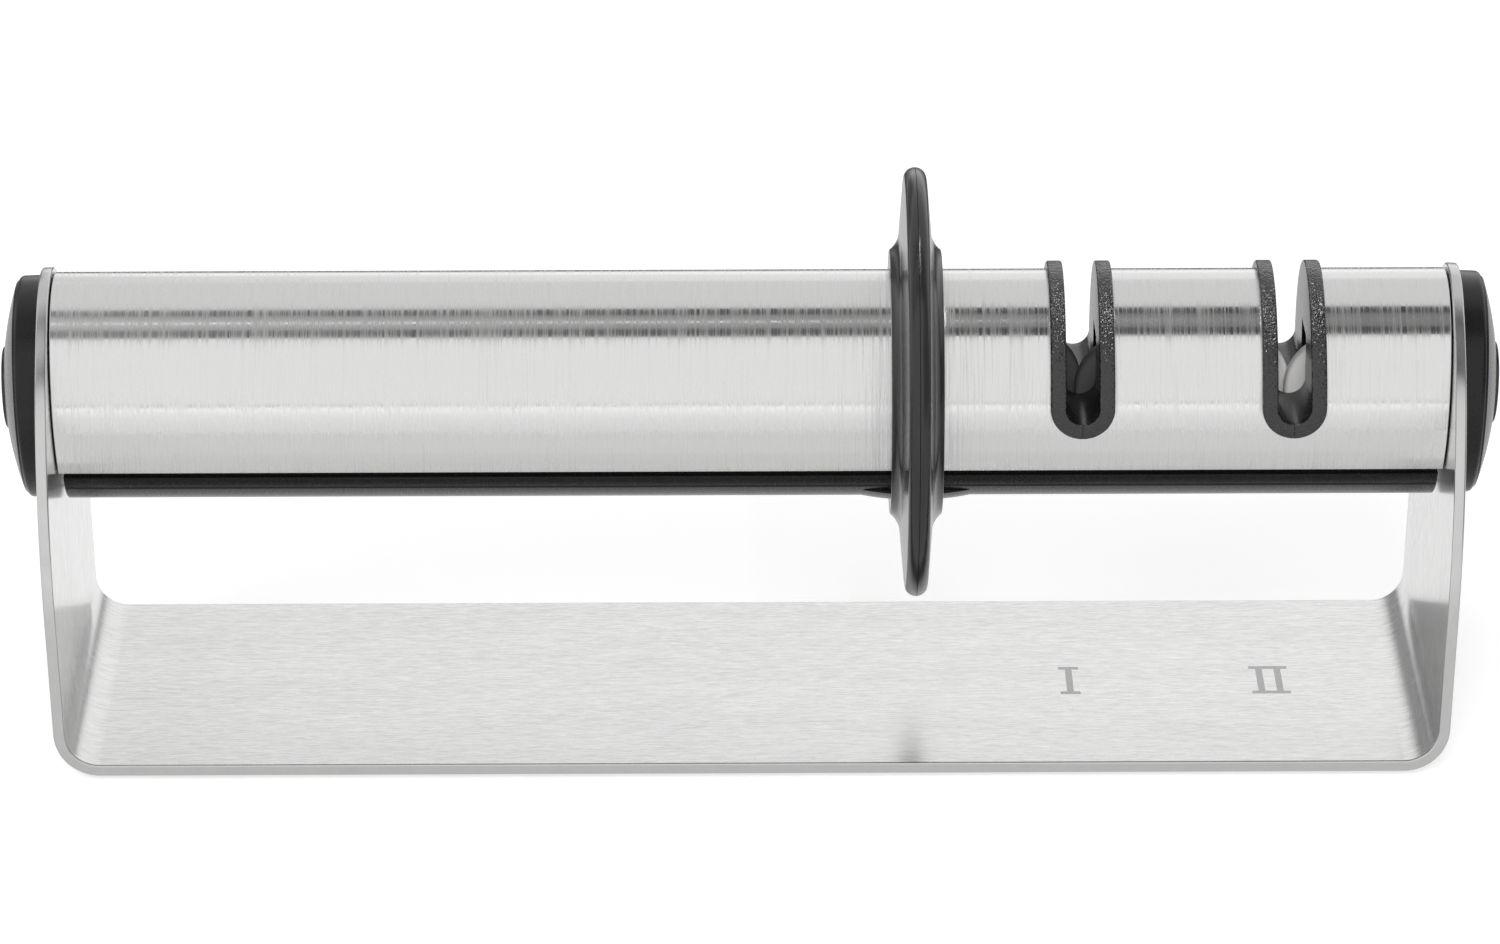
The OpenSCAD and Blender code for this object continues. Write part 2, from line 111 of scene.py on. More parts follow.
def blank_mesh():
    """The flat blank, with its rounded edge all round."""
    half = blank_rows()
    rows = [(-x, y, -nx, ny) for x, y, nx, ny in reversed(half[1:])] + half
    rim = arc(edge_r, edge_r, edge_r, 270, 180, 5) + arc(edge_r, sheet_t - edge_r, edge_r, 180, 90, 5)
    rim = [(edge_r + flat_rim, 0)] + rim + [(edge_r + flat_rim, sheet_t)]
    bm = bmesh.new()
    sides = {}
    for side in (1, -1):
        sides[side] = [
            [bm.verts.new((x - nx * d, side * (y - ny * d), w)) for d, w in rim]
            for x, y, nx, ny in rows
        ]
    for side, grid in sides.items():
        for i in range(len(rows) - 1):
            for j in range(len(rim) - 1):
                bm.faces.new((grid[i][j], grid[i + 1][j], grid[i + 1][j + 1], grid[i][j + 1]))
    for j in (0, len(rim) - 1):
        for i in range(len(rows) - 1):
            bm.faces.new((sides[1][i][j], sides[1][i + 1][j], sides[-1][i + 1][j], sides[-1][i][j]))
    return closed(bm, "blank")


def closed(bm, name, join=0.002 * mm):
    """Merges doubles, drops empty faces, turns the faces outwards and makes a mesh."""
    bmesh.ops.remove_doubles(bm, verts=bm.verts, dist=join)
    bmesh.ops.dissolve_degenerate(bm, edges=bm.edges, dist=join)
    bmesh.ops.recalc_face_normals(bm, faces=bm.faces)
    mesh = bpy.data.meshes.new(name)
    bm.to_mesh(mesh)
    bm.free()
    return mesh


def in_scene(name, data):
    """A new object in the scene."""
    made = bpy.data.objects.new(name, data)
    bpy.context.scene.collection.objects.link(made)
    return made


def tree_with(name, inputs):
    """An empty Geometry Nodes tree with named number inputs."""
    tree = bpy.data.node_groups.new(name, "GeometryNodeTree")
    tree.interface.new_socket("Geometry", in_out="INPUT", socket_type="NodeSocketGeometry")
    for label in inputs:
        tree.interface.new_socket(label, in_out="INPUT", socket_type="NodeSocketFloat")
    tree.interface.new_socket("Material", in_out="INPUT", socket_type="NodeSocketMaterial")
    tree.interface.new_socket("Geometry", in_out="OUTPUT", socket_type="NodeSocketGeometry")
    return tree, tree.nodes.new("NodeGroupInput"), tree.nodes.new("NodeGroupOutput")


def put(tree, kind, links=None, **values):
    """Adds a node; links gives its input sockets other sockets or plain values."""
    node = tree.nodes.new(kind)
    for key, value in values.items():
        setattr(node, key, value)
    for key, value in (links or {}).items():
        if isinstance(value, bpy.types.NodeSocket):
            tree.links.new(value, node.inputs[key])
        else:
            node.inputs[key].default_value = value
    return node


def maths(tree, operation, *values):
    """One Math node's result."""
    return put(tree, "ShaderNodeMath", dict(enumerate(values)), operation=operation).outputs[0]


def end_tree(tree, given, out, shape):
    """Every tree ends alike: instances made real, and the material set."""
    real = put(tree, "GeometryNodeRealizeInstances", {"Geometry": shape}).outputs[0]
    coat = {"Geometry": real, "Material": given.outputs["Material"]}
    tree.links.new(put(tree, "GeometryNodeSetMaterial", coat).outputs[0], out.inputs[0])


def grown(name, base, tree, values, material):
    """Runs a Geometry Nodes tree on a mesh and returns the plain result."""
    holder = in_scene(name, base)
    modifier = holder.modifiers.new("grow", "NODES")
    modifier.node_group = tree
    sockets = {s.name: s.identifier for s in tree.interface.items_tree if s.in_out == "INPUT"}
    for label, value in values.items():
        modifier[sockets[label]] = float(value)
    modifier[sockets["Material"]] = material
    return frozen(holder)


def frozen(holder):
    """The evaluated mesh of an object, which is then deleted."""
    holder.update_tag()
    bpy.context.view_layer.update()
    seen = holder.evaluated_get(bpy.context.evaluated_depsgraph_get())
    mesh = bpy.data.meshes.new_from_object(seen)
    mesh.name = holder.name
    bpy.data.objects.remove(holder)
    return mesh


def fold_tree():
    """Folds up both ends of a flat strip: positions go round an arc, then on
    along a straight line."""
    sizes = ["Fold Place", "Fold Radius", "Fold Angle", "Thickness", "Lift"]
    tree, given, out = tree_with("FoldSheet", sizes)
    fold_place, radius, full_angle, thick, lift = (given.outputs[label] for label in sizes)
    place = put(tree, "ShaderNodeSeparateXYZ", {0: put(tree, "GeometryNodeInputPosition").outputs[0]})
    x, y, w = place.outputs
    away = maths(tree, "ABSOLUTE", x)
    side = maths(tree, "SIGN", x)
    mid = maths(tree, "MULTIPLY_ADD", thick, 0.5, radius)
    past = maths(tree, "MAXIMUM", maths(tree, "SUBTRACT", away, fold_place), 0.0)
    angle = maths(tree, "MINIMUM", maths(tree, "DIVIDE", past, mid), full_angle)
    rest = maths(tree, "SUBTRACT", past, maths(tree, "MULTIPLY", angle, mid))
    outer = maths(tree, "ADD", radius, thick)
    r = maths(tree, "SUBTRACT", outer, w)
    sine = maths(tree, "SINE", angle)
    cosine = maths(tree, "COSINE", angle)
    start = maths(tree, "MINIMUM", away, fold_place)
    reach = maths(tree, "ADD", maths(tree, "MULTIPLY", r, sine), maths(tree, "MULTIPLY", rest, cosine))
    new_x = maths(tree, "MULTIPLY", side, maths(tree, "ADD", start, reach))
    rise = maths(tree, "SUBTRACT", maths(tree, "MULTIPLY", rest, sine), maths(tree, "MULTIPLY", r, cosine))
    new_z = maths(tree, "ADD", maths(tree, "ADD", lift, outer), rise)
    spot = put(tree, "ShaderNodeCombineXYZ", {0: new_x, 1: y, 2: new_z}).outputs[0]
    folded = put(tree, "GeometryNodeSetPosition", {"Geometry": given.outputs[0], "Position": spot})
    end_tree(tree, given, out, folded.outputs[0])
    return tree


def bridge(bm, a, b):
    """Faces from one ring of points to the next."""
    for j in range(len(a)):
        k = (j + 1) % len(a)
        bm.faces.new((a[j], b[j], b[k], a[k]))


def turned(name, profile, steps):
    """A solid of revolution about Z from a closed profile of radius and height."""
    bm = bmesh.new()
    rings = []
    for i in range(steps):
        a = 2 * math.pi * i / steps
        rings.append([bm.verts.new((r * math.cos(a), r * math.sin(a), h)) for r, h in profile])
    for i in range(steps):
        bridge(bm, rings[i], rings[(i + 1) % steps])
    return closed(bm, name)


def at_end(side):
    """The frame of an upright: Z points out of its inner face, from the tube's axis."""
    return (Matrix.Translation((side * upright_x, 0, axis_z))
            @ Matrix.Rotation(side * lean, 4, "Y")
            @ Matrix.Rotation(side * math.pi / 2, 4, "Y"))


def carved(mesh, cutters, operation="DIFFERENCE"):
    """Cuts or joins a mesh with others, one after another."""
    holder = in_scene(mesh.name, mesh)
    tools = []
    for cutter in cutters:
        tool = in_scene("tool", cutter)
        tool.hide_render = True
        modifier = holder.modifiers.new("carve", "BOOLEAN")
        modifier.operation = operation
        modifier.solver = "EXACT"
        modifier.object = tool
        tools.append(tool)
    result = frozen(holder)
    for tool in tools:
        bpy.data.objects.remove(tool)
    return result


def pin(r, low, high, steps):
    """A plain round bar along Z."""
    return turned("pin", [(0, low), (r, low), (r, high), (0, high)], steps)


def piece(name, mesh, material, slot, *replaced, body="stand"):
    """Puts a finished mesh in the scene, on its body."""
    mesh.name = name
    mesh.materials.clear()
    mesh.materials.append(material)
    mesh.shade_smooth()
    mesh.set_sharp_from_angle(angle=sharp_angle)
    made = in_scene(name, mesh)
    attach(made, body)
    if replaced:
        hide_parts(*replaced)
    return made


def new_group(name, place, values, outputs):
    """An empty shader group that takes a place and some values."""
    group = bpy.data.node_groups.new(name, "ShaderNodeTree")
    group.interface.new_socket(place, in_out="INPUT", socket_type="NodeSocketVector")
    for label in values:
        group.interface.new_socket(label, in_out="INPUT", socket_type="NodeSocketFloat")
    for label in outputs:
        group.interface.new_socket(label, in_out="OUTPUT", socket_type="NodeSocketFloat")
    return group, group.nodes.new("NodeGroupInput"), group.nodes.new("NodeGroupOutput")


def belt_marks_group():
    """Scratches of a grinding belt. Along is the place stretched so that the
    scratches run the long way: fine hair lines, a few wider ones, and a slow
    change from pass to pass."""
    group, given, out = new_group(
        "BeltMarks", "Along", ["Tone Change", "Polish Change"], ["Tone", "Polish", "Height"])

    def streaks(scale, **detail):
        noise = {"Vector": given.outputs["Along"], "Scale": scale, **detail}
        return put(group, "ShaderNodeTexNoise", noise).outputs["Fac"]

    hair = streaks(1.0, Detail=3.0, Roughness=0.65)
    wide = streaks(0.45, Detail=2.0, Roughness=0.5)
    slow = streaks(0.02, Detail=1.0)
    fine, coarse, drift = (maths(group, "SUBTRACT", marks, 0.5) for marks in (hair, wide, slow))
    mix = maths(group, "MULTIPLY_ADD", drift, 0.4, maths(group, "MULTIPLY_ADD", fine, 2.4, coarse))
    tone = maths(group, "MULTIPLY_ADD", mix, given.outputs["Tone Change"], 1.0)
    polish = maths(group, "MULTIPLY_ADD", mix, given.outputs["Polish Change"], 1.0)
    group.links.new(tone, out.inputs["Tone"])
    group.links.new(maths(group, "MAXIMUM", polish, 0.15), out.inputs["Polish"])
    group.links.new(hair, out.inputs["Height"])
    return group


belt_marks = belt_marks_group()


def new_material(name):
    """A new material, its node tree and its shader."""
    material = bpy.data.materials.new(name)
    material.use_nodes = True
    tree = material.node_tree
    return material, tree, tree.nodes["Principled BSDF"]


def shaded(tree, shader, colour, shade):
    """A base colour that a changing shade makes lighter and darker."""
    tint = put(tree, "ShaderNodeMix", {6: (*colour, 1), 7: shade, 0: 1.0},
               data_type="RGBA", blend_type="MULTIPLY")
    tree.links.new(tint.outputs[2], shader.inputs["Base Color"])


def relief(tree, shader, strength, depth, height):
    """A bump for what is too fine to be in the mesh."""
    bump = put(tree, "ShaderNodeBump", {"Strength": strength, "Distance": depth, "Height": height})
    tree.links.new(bump.outputs[0], shader.inputs["Normal"])


scratch_depth = 0.01 * mm


def ground_steel(name, colour, rough, stretch, tone, polish, across, uneven, bump):
    """Belt-ground stainless steel. across is the direction square to the
    scratches, in which a highlight spreads."""
    material, tree, shader = new_material(name)
    shader.inputs["Metallic"].default_value = 1.0
    shader.inputs["Anisotropic"].default_value = uneven
    place = put(tree, "ShaderNodeTexCoord").outputs["Object"]
    along = put(tree, "ShaderNodeMapping", {"Vector": place, "Scale": stretch}).outputs[0]
    marks = put(tree, "ShaderNodeGroup", node_tree=belt_marks)
    tree.links.new(along, marks.inputs["Along"])
    marks.inputs["Tone Change"].default_value = tone
    marks.inputs["Polish Change"].default_value = polish
    shaded(tree, shader, colour, marks.outputs["Tone"])
    tree.links.new(maths(tree, "MULTIPLY", marks.outputs["Polish"], rough), shader.inputs["Roughness"])
    relief(tree, shader, bump, scratch_depth, marks.outputs["Height"])
    spread = put(tree, "ShaderNodeCombineXYZ", dict(enumerate(across)))
    tree.links.new(spread.outputs[0], shader.inputs["Tangent"])
    return material


sheet_steel = ground_steel(
    "sheet_steel", (0.79, 0.79, 0.785), 0.22, stretch=(450, 3400, 450), tone=0.34, polish=0.25,
    across=(0.01, 1, 0.01), uneven=0.65, bump=0.04)
folded = grown("blank", blank_mesh(), fold_tree(), {
    "Fold Place": fold_x, "Fold Radius": fold_r, "Fold Angle": fold_angle,
    "Thickness": sheet_t, "Lift": pad_t}, sheet_steel)
spigot_r, peg_r, peg_out, seat_fit = 6 * mm, 2 * mm, 12 * mm, 0.1 * mm
hole_low, hole_high, hole_sides = -3 * mm, 5 * mm, 64
holes = []
for side in (-1, 1):
    for r, y in ((spigot_r, 0), (peg_r, -peg_out), (peg_r, peg_out)):
        hole = pin(r + seat_fit, hole_low, hole_high, hole_sides)
        hole.transform(at_end(side) @ Matrix.Translation((0, y, 0)))
        holes.append(hole)
bent = piece("bent_sheet", carved(folded, holes), sheet_steel, "brushed_steel_sheet", "base_bracket")

# The cut edge all round is deburred and buffed, so it is smoother than the faces.
edge_steel = ground_steel(
    "edge_steel", (0.6, 0.6, 0.595), 0.22, stretch=(300, 300, 300), tone=0.04, polish=0.3,
    across=(0.01, 1, 0.01), uneven=0.0, bump=0.05)
bent.data.materials.append(edge_steel)
edge_slope, face_slope = 0.12, 0.9
for face in bent.data.polygons:
    turned_up = face.center.z > axis_z and abs(face.normal.x) < face_slope
    if abs(face.normal.y) > edge_slope or turned_up:
        face.material_index = 1


# Slot numbers. A plain I and II, with a serif bar above and below, are etched
# into the plate in front of the two slots, which leaves the steel matt and
# grey. Each is a skin of a hundredth of a millimetre on the plate.

numeral_back, numeral_front = 5.9 * mm, -7.0 * mm
bar_depth = 1.25 * mm
stem_w = 1.2 * mm
ink_t = 0.012 * mm
ink_join = 0.0005 * mm
numerals = ((55.4, 59.0, (57.2,)), (89.7, 96.6, (91.5, 94.8)))


def numeral(bm, left, right, stems):
    """Bars across the whole width, and one stem around each given middle."""
    edges = [left]
    for middle in stems:
        edges += [middle - stem_w / 2, middle + stem_w / 2]
    edges.append(right)
    rows = [numeral_front, numeral_front + bar_depth, numeral_back - bar_depth, numeral_back]
    low, high = {}, {}
    for i, x in enumerate(edges):
        for j, y in enumerate(rows):
            low[i, j] = bm.verts.new((x, y, plate_z))
            high[i, j] = bm.verts.new((x, y, plate_z + ink_t))
    filled = [(i, j) for i in range(len(edges) - 1) for j in (0, 2)]
    filled += [(i, 1) for i in range(1, len(edges) - 1, 2)]
    for i, j in filled:
        ring = [(i, j), (i + 1, j), (i + 1, j + 1), (i, j + 1)]
        beyond = [(i, j - 1), (i + 1, j), (i, j + 1), (i - 1, j)]
        bm.faces.new([low[spot] for spot in ring])
        bm.faces.new([high[spot] for spot in ring])
        for k in range(4):
            if beyond[k] not in filled:
                a, b = ring[k], ring[(k + 1) % 4]
                bm.faces.new((low[a], low[b], high[b], high[a]))


def numerals_mesh():
    """Both numerals."""
    bm = bmesh.new()
    for left, right, stems in numerals:
        numeral(bm, left * mm, right * mm, [middle * mm for middle in stems])
    return closed(bm, "numerals", ink_join)


def etched_steel():
    """Matt etched steel with a fine frost."""
    material, tree, shader = new_material("etched_steel")
    shader.inputs["Metallic"].default_value = 0.6
    place = put(tree, "ShaderNodeTexCoord").outputs["Object"]
    frost = put(tree, "ShaderNodeTexNoise", {"Vector": place, "Scale": 5000.0, "Detail": 2.0}).outputs["Fac"]
    dark, light = (0.60, 0.60, 0.60, 1), (0.72, 0.72, 0.72, 1)
    tone = put(tree, "ShaderNodeMix", {0: frost, 6: dark, 7: light}, data_type="RGBA")
    tree.links.new(tone.outputs[2], shader.inputs["Base Color"])
    tree.links.new(maths(tree, "MULTIPLY_ADD", frost, 0.2, 0.55), shader.inputs["Roughness"])
    return material


piece("slot_numerals", numerals_mesh(), etched_steel(), "brushed_steel_sheet")


# Foot pads. Four round pads of soft rubber stuck under the plate's corners,
# with a small bevel on the rim that stands on the worktop.

foot_r, foot_inset, foot_bevel = 7 * mm, 12 * mm, 0.3 * mm
foot_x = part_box("foot_pads")[1].x - foot_r
foot_y = half_depth - foot_inset
foot_sides = 96
pad_join = 0.005 * mm


def grain_group():
    """The fine pits of a spark-eroded or cast surface, and the slight change
    of shade that goes with them."""
    group, given, out = new_group("Grain", "Place", ["Grain Size", "Shade Change"], ["Height", "Shade"])
    place = given.outputs["Place"]
    scale = maths(group, "DIVIDE", 1000.0, given.outputs["Grain Size"])
    pits = put(group, "ShaderNodeTexNoise", {"Vector": place, "Scale": scale, "Detail": 0.0})
    cloud = put(group, "ShaderNodeTexNoise", {"Vector": place, "Scale": 90.0, "Detail": 3.0})
    mix = maths(group, "ADD", pits.outputs["Fac"], cloud.outputs["Fac"])
    centred = maths(group, "SUBTRACT", mix, 1.0)
    shade = maths(group, "MULTIPLY_ADD", centred, given.outputs["Shade Change"], 1.0)
    group.links.new(pits.outputs["Fac"], out.inputs["Height"])
    group.links.new(shade, out.inputs["Shade"])
    return group


grain = grain_group()


def moulded(name, colour, rough, grain_mm, depth_mm, shade=0.25, gloss=0.3, specular=0.5, metallic=0.0):
    """A moulded, cast or ground surface: grain that shows in shade, gloss and relief."""
    material, tree, shader = new_material(name)
    shader.inputs["Specular IOR Level"].default_value = specular
    shader.inputs["Metallic"].default_value = metallic
    pits = put(tree, "ShaderNodeGroup", node_tree=grain)
    tree.links.new(put(tree, "ShaderNodeTexCoord").outputs["Object"], pits.inputs["Place"])
    pits.inputs["Grain Size"].default_value = grain_mm
    pits.inputs["Shade Change"].default_value = shade
    shaded(tree, shader, colour, pits.outputs["Shade"])
    height = pits.outputs["Height"]
    roughness = maths(tree, "MULTIPLY_ADD", maths(tree, "SUBTRACT", height, 0.5), gloss, rough)
    tree.links.new(roughness, shader.inputs["Roughness"])
    relief(tree, shader, 1.0, depth_mm * mm, height)
    return material


def spots_mesh(name, spots):
    """Loose points, on which a tree sets what repeats."""
    mesh = bpy.data.meshes.new(name)
    mesh.from_pydata(spots, [], [])
    return mesh


def lifted(tree, shape, height):
    """A shape moved up."""
    up = put(tree, "ShaderNodeCombineXYZ", {2: height}).outputs[0]
    return put(tree, "GeometryNodeTransform", {"Geometry": shape, "Translation": up}).outputs[0]


def on_points(tree, given, out, shape):
    """Ends a tree with its shape on every point that it is given."""
    spread = put(tree, "GeometryNodeInstanceOnPoints", {"Points": given.outputs[0], "Instance": shape})
    end_tree(tree, given, out, spread.outputs[0])


def pad_tree():
    """A round pad with a bevel below, on each point."""
    sizes = ["Radius", "Thickness", "Bevel"]
    tree, given, out = tree_with("FootPad", sizes)
    radius, thick, bevel = (given.outputs[label] for label in sizes)
    sole_r = maths(tree, "SUBTRACT", radius, bevel)
    side_h = maths(tree, "SUBTRACT", thick, bevel)

    def ring(low_r, high_r, height):
        sides = {"Vertices": foot_sides, "Radius Bottom": low_r, "Radius Top": high_r, "Depth": height}
        return put(tree, "GeometryNodeMeshCone", sides, fill_type="NONE").outputs["Mesh"]

    def disc(r):
        rim = {"Vertices": foot_sides, "Radius": r}
        return put(tree, "GeometryNodeMeshCircle", rim, fill_type="NGON").outputs[0]

    sole = put(tree, "GeometryNodeFlipFaces", {0: disc(sole_r)}).outputs[0]
    whole = put(tree, "GeometryNodeJoinGeometry")
    for part in (ring(sole_r, radius, bevel), lifted(tree, ring(radius, radius, side_h), bevel),
                 sole, lifted(tree, disc(radius), thick)):
        tree.links.new(part, whole.inputs[0])
    merged = put(tree, "GeometryNodeMergeByDistance", {0: whole.outputs[0], "Distance": pad_join})
    on_points(tree, given, out, merged.outputs[0])
    return tree


foot_rubber = moulded("foot_rubber", (0.035, 0.035, 0.037), 0.7, grain_mm=0.25, depth_mm=0.01)
foot_spots = [(x, y, 0) for x in (-foot_x, foot_x) for y in (-foot_y, foot_y)]
pads = grown("pads", spots_mesh("pads", foot_spots), pad_tree(),
             {"Radius": foot_r, "Thickness": pad_t, "Bevel": foot_bevel}, foot_rubber)
piece("rubber_pads", pads, foot_rubber, "foot_rubber", "foot_pads")


# Steel tube. Two shells of 1 mm stainless tube, one each side of the guard,
# open below where the rail closes them, and polished round and round with a
# fine belt. The right one is cut for the two knife slots.

shell_wall = 1 * mm
shell_drop = axis_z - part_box("handle_shell")[0].z
shell_edge = 0.15 * mm
shell_steps, slot_steps = 180, 48
gap_at_upright = 0.3 * mm
shell_end = upright_x - gap_at_upright / math.cos(lean)
shell_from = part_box("head_shell")[0].x
slot_rise = 2.4 * mm
slot_xs = [sum(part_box(n)[i].x for i in (0, 1)) / 2 for n in ("slot_liner_coarse", "slot_liner_fine")]
seat_r = 4.2 * mm


def shell_mesh(x0, x1, lean_at):
    """Part of a tube from x0 to x1; the end named by lean_at follows its upright."""
    inner = tube_r - shell_wall
    ends = arc(x0 + shell_edge, inner + shell_edge, shell_edge, 270, 180, 3)
    ends += arc(x0 + shell_edge, tube_r - shell_edge, shell_edge, 180, 90, 3)
    ends += arc(x1 - shell_edge, tube_r - shell_edge, shell_edge, 90, 0, 3)
    ends += arc(x1 - shell_edge, inner + shell_edge, shell_edge, 0, -90, 3)
    bm = bmesh.new()
    grid = []
    for i in range(shell_steps + 1):
        column = []
        for x, r in ends:
            low = -math.asin(shell_drop / r)
            a = low + (math.pi - 2 * low) * i / shell_steps
            y, z = r * math.cos(a), r * math.sin(a)
            shift = z * math.tan(lean) * lean_at if (x - (x0 + x1) / 2) * lean_at > 0 else 0
            column.append(bm.verts.new((x + shift, y, z + axis_z)))
        grid.append(column)
    for a, b in zip(grid, grid[1:]):
        bridge(bm, a, b)
    bm.faces.new(grid[0])
    bm.faces.new(grid[-1][::-1])
    return closed(bm, "shell")


def slot_tool(x, r):
    """A bar with a knife slot's section, right through the tube."""
    outline = arc(x, axis_z + slot_rise, r, 180, 360, slot_steps)
    outline += [(x + r, axis_z + 2 * tube_r), (x - r, axis_z + 2 * tube_r)]
    bm = bmesh.new()
    front = [bm.verts.new((px, -2 * tube_r, pz)) for px, pz in outline]
    back = [bm.verts.new((px, 2 * tube_r, pz)) for px, pz in outline]
    n = len(outline)
    for i in range(n):
        bm.faces.new((front[i], front[(i + 1) % n], back[(i + 1) % n], back[i]))
    bm.faces.new(front[::-1])
    bm.faces.new(back)
    return closed(bm, "slot_tool")


def true_round(mesh):
    """Sets the normals of the tube's two round faces to point straight out
    from its axis, so that long cut faces still shade as a true cylinder."""
    middle = Vector((0, 0, axis_z))
    facing_out, near, on_end = 0.995, 0.01 * mm, 0.01
    normals = [None] * len(mesh.loops)
    for face in mesh.polygons:
        for i in face.loop_indices:
            v = mesh.vertices[mesh.loops[i].vertex_index].co - middle
            out = Vector((0, v.y, v.z)).normalized()
            r = math.hypot(v.y, v.z)
            on_wall = min(abs(r - tube_r), abs(r - tube_r + shell_wall)) < near
            if abs(face.normal.dot(out)) > facing_out and on_wall:
                normals[i] = out if face.normal.dot(out) > 0 else -out
            elif abs(face.normal.x) < on_end:
                normals[i] = face.normal
            else:
                normals[i] = Vector(mesh.corner_normals[i].vector)
    mesh.normals_split_custom_set(normals)


tube_steel = ground_steel(
    "tube_steel", (0.74, 0.74, 0.735), 0.24, stretch=(2900, 60, 60), tone=0.08, polish=1.2,
    across=(1, 0.01, 0.01), uneven=0.8, bump=0.2)
handle = shell_mesh(-shell_end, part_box("handle_shell")[1].x, -1)
head = carved(shell_mesh(shell_from, shell_end, 1), [slot_tool(x, seat_r) for x in slot_xs])
for name, mesh, node in (("handle_tube", handle, "handle_shell"), ("head_tube", head, "head_shell")):
    tube = piece(name, mesh, tube_steel, "brushed_steel_tube", node)
    true_round(tube.data)


# Bottom rail. A black moulded bar that closes the tube from below: a neck
# between the shells' edges, a round underside with a fine crease along each
# side, and lower corners that run up to the ends in a quarter round.

rail_drop = axis_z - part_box("bottom_rail")[1].z
rail_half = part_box("bottom_rail")[1].x
neck_half, neck_h = 14.5 * mm, 1.4 * mm
neck_points = 6
corner_r = 2.2 * mm
crease_at, crease_half = 46, 0.42 * mm
rail_edge = 0.25 * mm


def rail_outline():
    """Section of the rail as points of Y and Z about the axis, from the
    right shoulder round below to the left one, then the neck."""
    shoulder = rail_drop + neck_h
    start = -math.degrees(math.asin((shoulder + rail_edge) / tube_r))
    half = math.degrees(crease_half / tube_r)
    points = arc(0, 0, tube_r, start, -crease_at + half, 10)
    groove = math.radians(-crease_at)
    groove_r = tube_r - crease_half
    points.append((groove_r * math.cos(groove), groove_r * math.sin(groove)))
    points += arc(0, 0, tube_r, -crease_at - half, -90, 32)
    mirrored = [(-y, z) for y, z in reversed(points[:-1])]
    rim_y = points[0][0]
    neck = [(-rim_y + rail_edge, -shoulder), (-neck_half, -shoulder), (-neck_half, -rail_drop),
            (neck_half, -rail_drop), (neck_half, -shoulder), (rim_y - rail_edge, -shoulder)]
    return points + mirrored + neck


def rail_mesh():
    """The section drawn along the rail, and each end face in strips from side to side."""
    outline = rail_outline()
    low = tube_r - corner_r

    def reach(z):
        rise = min(max(0, -z - low), corner_r)
        return rail_half - corner_r + math.sqrt(corner_r ** 2 - rise ** 2)

    bm = bmesh.new()
    grid = []
    for side, at_face in ((-1, True), (-1, False), (1, False), (1, True)):
        shrink = 1 - rail_edge / tube_r if at_face else 1
        back = 0 if at_face else rail_edge
        grid.append([bm.verts.new((side * (reach(z) - back), y * shrink, z * shrink + axis_z))
                     for y, z in outline])
    for a, b in zip(grid, grid[1:]):
        bridge(bm, a, b)
    n = len(outline)
    lowest = (n - neck_points - 1) // 2
    rights = [n - 3, n - 2, n - 1] + list(range(lowest + 1))
    lefts = [n - 4, n - 5, n - 6] + list(range(2 * lowest, lowest - 1, -1))
    for ring in (grid[0], grid[-1]):
        for k in range(len(rights) - 1):
            corners = [ring[rights[k]], ring[rights[k + 1]], ring[lefts[k + 1]], ring[lefts[k]]]
            bm.faces.new(list(dict.fromkeys(corners)))
    return closed(bm, "rail")


# The screws go into the two end plugs and the two cores. A hole's steps are
# radii and heights in millimetres.
plug_screw_x, handle_screw_share, head_screw_x = upright_x - plug_t / 2, 0.33, 36.8 * mm
screw_xs = [-plug_screw_x, -handle_screw_share * upright_x, head_screw_x, plug_screw_x]
screw_sides = 48
hole_steps = [(0, -1), (2.6, -1), (2.6, 1), (1.35, 2.25), (1.35, 12), (0, 12)]
screw_holes = []
for x in screw_xs:
    tool = turned("screw_hole", [(r * mm, h * mm) for r, h in hole_steps], screw_sides)
    tool.transform(Matrix.Translation((x, 0, axis_z - tube_r)))
    screw_holes.append(tool)
satin_black = moulded("satin_black", (0.008, 0.008, 0.0085), 0.24, grain_mm=0.2, depth_mm=0.02,
                      gloss=0.15, specular=0.28)
piece("rail", carved(rail_mesh(), screw_holes), satin_black, "black_plastic", "bottom_rail")


# Hand guard. Two moulded black halves clamp round the tube: a short hub, a
# hollow flare and a thin disc with a rounded rim. They meet in the middle of
# the rim, where a fine joint line runs all round.

guard_x = (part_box("collar_left_half")[0].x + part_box("collar_right_half")[1].x) / 2
guard_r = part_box("collar_left_half")[1].z - axis_z
hub_r, hub_half = 22.4 * mm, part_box("collar_right_half")[1].x - guard_x
flare_r, web_half, rim_half = 4.7 * mm, 2.75 * mm, 2 * mm
bore_r = tube_r + seat_fit
joint_w, joint_d = 0.05 * mm, 0.05 * mm
hub_edge = 0.4 * mm
guard_steps = 256


def guard_profile():
    """Half of the guard as radius and distance from its middle plane."""
    cx, cy = hub_r + flare_r, web_half + flare_r
    edge_y = hub_half - hub_edge
    edge_x = cx - math.sqrt((flare_r + hub_edge) ** 2 - (cy - edge_y) ** 2)
    turn = math.degrees(math.atan2(cy - edge_y, cx - edge_x))
    points = [(bore_r, joint_w / 2), (bore_r, hub_half - hub_edge / 2), (bore_r + hub_edge / 2, hub_half)]
    points += arc(edge_x, edge_y, hub_edge, 90, turn, 6)
    points += arc(cx, cy, flare_r, 180 + turn, 270, 24)[1:]
    for share in (0.25, 0.5, 0.75):
        points.append((cx + (guard_r - rim_half - cx) * share, web_half + (rim_half - web_half) * share))
    bend = math.degrees(joint_w / rim_half)
    points += arc(guard_r - rim_half, 0, rim_half, 90, bend, 16)
    points.append((guard_r - joint_d, joint_w / 2))
    return points


